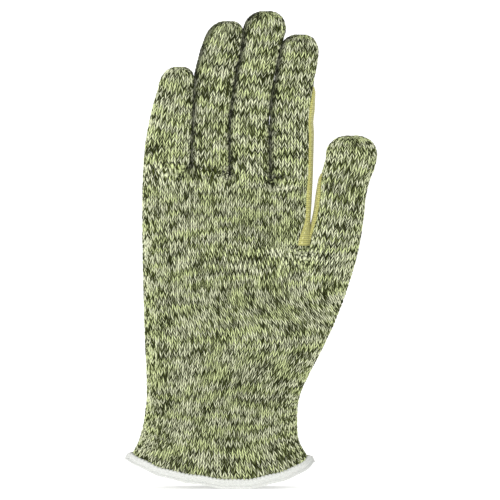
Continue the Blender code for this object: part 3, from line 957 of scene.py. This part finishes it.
def make_cuff():
    """The cuff's knit, from inside the hem to past the wrist."""
    count = round((CUFF_TOP - HEM_EDGE) / COURSE) * ROWS
    level = np.linspace(HEM_EDGE, CUFF_TOP, count + 1)
    columns = PALM_WALES * DETAIL + 1
    wale, course = np.meshgrid(np.arange(columns) / DETAIL, np.arange(count + 1) / ROWS)
    height = level[:, None] + zigzag(wale, course) * smoothstep((level[:, None] - 1) / 4)
    x, y, z = cuff_surface(level, height, wale / PALM_WALES)
    points, fields = ringed(x, y, z, wale, course)
    outer = knitted(points, fields)
    inner = points - normals_of(points) * WALL
    piece = sleeve("cuff_knit", outer, inner, fields)
    bend(piece, "cuff", "hand", "wrist_flex", WRIST_BEND, CUFF_TOP - wrist_joint)
    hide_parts("cuff")
    return course[-1, 0]


# ---------------------------------------------------------------- hem

HEM_THREAD_PITCH = 0.95
HEM_STITCH_PITCH = 2.1
HEM_COLUMNS = 900
HEM_PROFILE = [
    # height over the hem line, distance out from the middle of the fabric
    (5.0, 1.15), (4.75, 1.75), (4.3, 2.05), (3.9, 1.75), (3.4, 1.85), (2.7, 1.95),
    (2.1, 1.75), (1.8, 1.45), (1.5, 1.75), (1.1, 2.1), (0.6, 2.15), (0.2, 1.7), (0.0, 0.7),
]


def make_hem():
    """White overlock threads wrapped over the cuff's edge, with a rolled lower lip."""
    inside = [(height, -out) for height, out in HEM_PROFILE[::-1]]
    profile = HEM_PROFILE + inside + [(4.6, -0.9), (4.6, 0.9)]
    share = np.linspace(0, 1, HEM_COLUMNS + 1)[None, :]
    rings = []
    for height, out in profile[::-1]:
        level = np.array([height])
        x, y, z = cuff_surface(level, level[:, None], share, out - WALL / 2)
        side = 2 * share - 1
        roll = smoothstep((5.3 - height) / 1.3) * (0.55 + 0.45 * smoothstep(height / 1.8))
        x = x + HEM_FLARE * side**11 * roll
        z = z + 0.35 * np.sin(19 * share) + 0.2 * np.sin(47 * share)
        rings.append(ringed(x, y, z, share, share)[0][0])
    rings = np.array(rings)
    middle = rings.mean(axis=0)
    length = np.linalg.norm(np.roll(middle, -1, axis=0) - middle, axis=1)
    run = np.concatenate([[0], np.cumsum(length)[:-1]]) / length.sum()
    ribs = np.abs(np.sin(math.pi * run * round(length.sum() / HEM_THREAD_PITCH)))
    stitches = np.abs(np.sin(math.pi * run * round(length.sum() / HEM_STITCH_PITCH)))
    heights = np.array([height for height, _ in profile[::-1]])[:, None]
    bead = np.exp(-((heights - 4.4) / 0.45) ** 2)
    relief = 0.20 * (ribs - 0.6) * (1 - bead) + 0.55 * (stitches - 0.5) * bead
    outward = rings - middle
    size = np.linalg.norm(outward, axis=2, keepdims=True)
    rings = rings + outward / np.maximum(size, 1e-6) * relief[..., None]
    rings[..., 2] += 0.45 * (stitches - 0.5) * smoothstep((heights - 4.0) / 0.8)
    rows, count = rings.shape[:2]
    quads = grid_quads(rows + 1, count) % (rows * count)
    piece = build_mesh("hem_overlock_thread", rings.reshape(-1, 3), quads, NO_TRIANGLES, {},
                       hem_thread)
    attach(piece, "cuff")
    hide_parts("hem_overlock")


ELASTIC_TURNS = 4
ELASTIC_YARN = 0.45          # radius
ELASTIC_STEPS = 90           # rings to each half of a turn
ELASTIC_SIDES = 6


def make_elastic():
    """The covered elastic yarn laid in round the inside of the wrist."""
    low, high = (corner.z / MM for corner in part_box("cuff_elastic"))
    whole = 2 * ELASTIC_STEPS
    steps, sides = whole * ELASTIC_TURNS, ELASTIC_SIDES
    share = np.linspace(0, 1, ELASTIC_STEPS + 1)[None, :]
    centres = []
    for step in range(steps + 1):
        z = low + ELASTIC_YARN + (high - low - 2 * ELASTIC_YARN) * step / steps
        centre, width, thick = body_outline.size(np.array([z]))
        inset = WALL + 0.4 + ELASTIC_YARN
        turns, _ = spaced_turns(width - inset, thick - inset, PALM_POWER, share)
        x, y = unit_section(turns, PALM_POWER)
        place = step % whole
        side = -1 if place < ELASTIC_STEPS else 1
        column = min(place, whole - place)
        centres.append((centre[0] + (width - inset)[0] * x[0, column],
                        side * (thick - inset)[0] * y[0, column], z))
    centres = np.array(centres)
    along = np.gradient(centres, axis=0)
    along /= np.linalg.norm(along, axis=1, keepdims=True)
    across = np.cross(along, (0, 0, 1))
    across /= np.linalg.norm(across, axis=1, keepdims=True)
    upward = np.cross(across, along)
    angle = np.arange(sides) / sides * 2 * math.pi
    plump = ELASTIC_YARN * (1 + 0.12 * np.sin(np.arange(steps + 1) * 1.9))[:, None, None]
    rings = centres[:, None] + plump * (np.cos(angle)[None, :, None] * across[:, None]
                                        + np.sin(angle)[None, :, None] * upward[:, None])
    points = rings.reshape(-1, 3)
    caps = [[0, side + 1, side] for side in range(1, sides - 1)]
    last = steps * sides
    caps += [[last, last + side, last + side + 1] for side in range(1, sides - 1)]
    quads = grid_quads(steps + 1, sides)[:, ::-1]
    caps = np.array(caps)[:, ::-1]
    piece = build_mesh("cuff_elastic_yarn", points, quads, caps, {}, elastic_yarn)
    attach(piece, "cuff")
    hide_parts("cuff_elastic")


# ---------------------------------------------------------------- ribbed reinforcement

STRIP_LIFT = (0.35, 1.30)    # inner and outer face over the middle of the knit's relief
STRIP_BACK = 5.8             # reach round the side towards the back of the hand
STRIP_PALM = 7.3
STRIP_RIB = 1.05
STRIP_ROW = 0.21
STRIP_COLUMNS = 34
STRIP_SEARCH = 46            # grid columns on each side of the silhouette that hold the band
STRIP_INDEX_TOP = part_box("index_middle_reinforcement")[1].z / MM
STRIP_THUMB_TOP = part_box("thumb_tip_reinforcement")[1].z / MM
TAB_BOTTOM = 128.6
TAB_TOP = 145.0
STRIP_END = 3.0              # the band's upper ends thin out over this length
STRIP_END_DROP = 0.6
STRIP_NARROWED = 2.4         # how much narrower the band's back edge is at its upper ends
STRIP_NARROWING = 13.0
TAB_TAPER = 1.6              # how much narrower the thumb side of the band is at its foot
TAB_REACH = 10.9             # the band's widest reach onto the back of the hand, at its foot


def band_rows(points, silhouette, reach_low, reach_high):
    """Points and normals of a band that runs up one side of a tube, back and palm alike."""
    normal = normals_of(points)
    count = points.shape[1]
    columns = np.arange(silhouette - STRIP_SEARCH, silhouette + STRIP_SEARCH + 1) % count
    rows = []
    for row in range(len(points)):
        line = points[row, columns]
        run = np.concatenate([[0], np.cumsum(np.linalg.norm(np.diff(line, axis=0), axis=1))])
        run -= run[STRIP_SEARCH]
        place = np.linspace(reach_low[row], reach_high[row], STRIP_COLUMNS + 1)
        both = np.hstack([line, normal[row, columns]])
        rows.append(np.stack([np.interp(place, run, values) for values in both.T], axis=1))
    return np.array(rows)


def slab(name, outer, inner, fields, material):
    """A closed band between two open grids."""
    rows, columns = outer.shape[:2]
    first = rows * columns
    grid = np.arange(first).reshape(rows, columns)
    loop = np.concatenate([grid[0], grid[1:, -1], grid[-1, -2::-1], grid[-2:0:-1, 0]])
    after = np.roll(loop, -1)
    rim = np.stack([after, loop, first + loop, first + after], axis=1)
    face = grid_quads(rows, columns, closed=False)
    quads = np.concatenate([rim, face, face[:, ::-1] + first])
    points = np.concatenate([outer.reshape(-1, 3), inner.reshape(-1, 3)])
    values = {key: np.tile(field.ravel(), 2) for key, field in fields.items()}
    return build_mesh(name, points, quads, NO_TRIANGLES, values, material, len(rim))


def band_piece(name, rows, low, high, top=False):
    """One length of the reinforcement, with its ribs and its sewn edges."""
    points, normal = rows[..., :3], rows[..., 3:]
    middle = points[:, STRIP_COLUMNS // 2]
    run = np.concatenate([[0], np.cumsum(np.linalg.norm(np.diff(middle, axis=0), axis=1))])
    heights = middle[:, 2]
    ends = np.interp([low, high], heights, run)
    count = round((ends[1] - ends[0]) / STRIP_ROW)
    place = np.linspace(ends[0], ends[1], count + 1)
    table = rows.reshape(len(rows), -1)
    table = np.stack([np.interp(place, run, values) for values in table.T], axis=1)
    table = table.reshape(len(place), STRIP_COLUMNS + 1, 6)
    points, normal = table[..., :3], table[..., 3:]
    normal = normal / np.linalg.norm(normal, axis=2, keepdims=True)
    across = np.linspace(0, 1, STRIP_COLUMNS + 1)[None, :]
    edge = np.minimum(across, 1 - across) * 13.0
    along = place[:, None] / STRIP_RIB
    rib = np.abs(np.sin(math.pi * along))
    wavy = np.abs(np.sin(math.pi * (across * 11.0)))
    seam = np.exp(-((edge - 1.1) / 0.35) ** 2)
    stitch = smoothstep((np.sin(2 * math.pi * along / 2.4) + 0.3) * 2)
    relief = 0.22 * (rib - 0.7) + 0.08 * (wavy - 0.5)
    relief = relief + seam * (0.30 * stitch - 0.16) - 0.45 * (1 - smoothstep(edge / 0.7))
    if top:
        relief = relief - STRIP_END_DROP * (1 - smoothstep((place[-1] - place[:, None]) / STRIP_END))
    outer = points + normal * (STRIP_LIFT[1] + relief)[..., None]
    inner = points + normal * STRIP_LIFT[0]
    fields = {"rib": rib * np.ones_like(across), "seam": seam * stitch}
    piece = slab(name, outer, inner, fields, aramid)
    return piece


def make_band(name, rows, cuts, replaced):
    """The band on one stall, in pieces cut where the knit under it is cut."""
    bodies, names = ["hand"] + bodies_of(name), joints_of(name)
    for number, (low, high) in enumerate(zip(cuts, cuts[1:])):
        piece = band_piece("%s_reinforcement_%d" % (name, number + 1), rows, low, high,
                           top=high == cuts[-1])
        bend(piece, bodies[number], bodies[number + 1], names[number], *BENDS[name][number][0])
        if replaced[number]:
            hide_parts(*replaced[number])


def towards_foot(z):
    """0 above the tab to 1 at its foot."""
    return smoothstep((TAB_TOP - z) / (TAB_TOP - TAB_BOTTOM))


def narrowed(z, top):
    """How much narrower the band is on the back of the hand, near its upper end."""
    return STRIP_NARROWED * smoothstep((z - top + STRIP_NARROWING) / STRIP_NARROWING)


def plain_stall(name, foot, wales):
    """Rings up a stall, without stitches."""
    return stall_grid(stalls[name], stall_levels(name, foot), wales, 0, 0, waves=0.0)[0]


def make_index_reinforcement(web):
    """The band from the tab at the thumb crotch up the index finger."""
    palm, _ = upper_palm_grid(0, waves=0.0)
    index = plain_stall("index", web, FINGER_WALES)
    rows = []
    for points, silhouette in ((palm, PALM_WALES * DETAIL), (index, FINGER_WALES * DETAIL)):
        z = points[:, silhouette, 2]
        reach = narrowed(z, STRIP_INDEX_TOP) - STRIP_BACK
        reach = reach - (TAB_REACH - STRIP_BACK) * towards_foot(z)
        rows.append(band_rows(points, silhouette, reach, STRIP_PALM + 0 * z))
    rows = np.concatenate([rows[0][:-2], rows[1][2:]])
    cuts = [TAB_BOTTOM] + [plane[0] for _, plane in BENDS["index"][:-1]] + [STRIP_INDEX_TOP]
    make_band("index", rows, cuts, [("crotch_reinforcement", "index_base_reinforcement"),
                                    ("index_middle_reinforcement",), ()])


def make_thumb_reinforcement():
    """The band up the inner side of the thumb."""
    thumb = plain_stall("thumb", PALM_SPLIT, THUMB_WALES)
    z = thumb[:, 0, 2]
    taper = TAB_TAPER * towards_foot(z) + narrowed(z, STRIP_THUMB_TOP)
    rows = band_rows(thumb, 0, 0 * z - STRIP_PALM, STRIP_BACK - taper)
    cuts = [TAB_BOTTOM, BENDS["thumb"][0][1][0], STRIP_THUMB_TOP]
    make_band("thumb", rows, cuts, [("thumb_base_reinforcement",),
                                    ("thumb_tip_reinforcement",)])


# ---------------------------------------------------------------- stage

# Metres
FLOOR_REACH = 12.0
FLOOR_GLOW = 0.56            # lifts the floor to the white of the backdrop
SWEEP_START = 1.9            # the floor turns up behind the glove here
SWEEP_RADIUS = 0.6
SWEEP_TOP = 4.0
SWEEP_STEPS = 12


def make_stage():
    """A pale floor that sweeps up behind the glove."""
    line = [(-FLOOR_REACH, 0.0)]
    for step in range(SWEEP_STEPS + 1):
        angle = step / SWEEP_STEPS * math.pi / 2
        line.append((SWEEP_START + SWEEP_RADIUS * math.sin(angle),
                     SWEEP_RADIUS - SWEEP_RADIUS * math.cos(angle)))
    line.append((SWEEP_START + SWEEP_RADIUS, SWEEP_TOP))
    points = np.array([(x, y, z) for y, z in line for x in (-FLOOR_REACH, FLOOR_REACH)]) / MM
    quads = grid_quads(len(line), 2, closed=False)
    shader = Shader("pale_floor", 0.9, 0.0)
    shader.colour((0.86, 0.86, 0.86, 1.0))
    shader.surface.inputs["Emission Color"].default_value = (1, 1, 1, 1)
    shader.surface.inputs["Emission Strength"].default_value = FLOOR_GLOW
    floor = build_mesh("floor", points, quads, NO_TRIANGLES, {}, shader.material)
    floor.location.z = cad_bounds[0][2] - 0.001


AMBIENT = 0.46               # the backdrop's light on the glove, as a share of what is seen
LIT_POINT = (0.01, 0, 0.13)
LIGHTS = [
    # name, place, size, power
    ("key", (-0.50, -1.1, 0.40), 0.5, 7.0),
    ("fill", (0.6, -1.2, 0.15), 0.8, 2.6),
    ("back", (0.3, 1.3, 0.7), 0.9, 2.6),
]


def area_light(name, place, size, power):
    data = bpy.data.lights.new(name, "AREA")
    data.shape = "DISK"
    data.size = size
    data.energy = power
    light = bpy.data.objects.new(name, data)
    bpy.context.scene.collection.objects.link(light)
    light.location = place
    light.rotation_euler = (Vector(LIT_POINT) - Vector(place)).to_track_quat("-Z", "Y").to_euler()


def make_light():
    world = bpy.data.worlds.new("studio")
    world.use_nodes = True
    tree = world.node_tree
    backdrop = tree.nodes["Background"]
    backdrop.inputs["Color"].default_value = (1, 1, 1, 1)
    path = tree.nodes.new("ShaderNodeLightPath")
    strength = tree.nodes.new("ShaderNodeMapRange")
    strength.inputs["To Min"].default_value = AMBIENT
    strength.inputs["To Max"].default_value = 1.0
    tree.links.new(path.outputs["Is Camera Ray"], strength.inputs["Value"])
    tree.links.new(strength.outputs[0], backdrop.inputs["Strength"])
    bpy.context.scene.world = world
    for light in LIGHTS:
        area_light(*light)


CAMERA_DISTANCE = 1.8
VIEW_WIDTH = 0.268
VIEW_CENTRE = (0.0158, 0.1262)


def make_camera():
    data = bpy.data.cameras.new("camera")
    data.sensor_width = 36.0
    data.lens = data.sensor_width * CAMERA_DISTANCE / VIEW_WIDTH
    camera = bpy.data.objects.new("camera", data)
    camera.location = (VIEW_CENTRE[0], -CAMERA_DISTANCE, VIEW_CENTRE[1])
    camera.rotation_euler = (math.radians(90), 0, 0)
    bpy.context.scene.collection.objects.link(camera)
    bpy.context.scene.camera = camera


# ---------------------------------------------------------------- the glove

bpy.context.scene.view_settings.view_transform = "Standard"
bpy.context.scene.view_settings.look = "None"

make_camera()
make_light()
make_stage()
courses = make_cuff()
courses = make_lower_palm(courses)
thumb_courses = courses
courses = make_upper_palm(courses)

web = web_line(FINGER_WALES)
for place, finger in enumerate(FINGERS):
    make_stall(stalls[finger], web[finger], FINGER_WALES, place * FINGER_WALES, courses)
make_stall(stalls["thumb"], PALM_SPLIT, THUMB_WALES, PALM_WALES, thumb_courses)
make_hem()
make_elastic()
make_index_reinforcement(web["index"])
make_thumb_reinforcement()
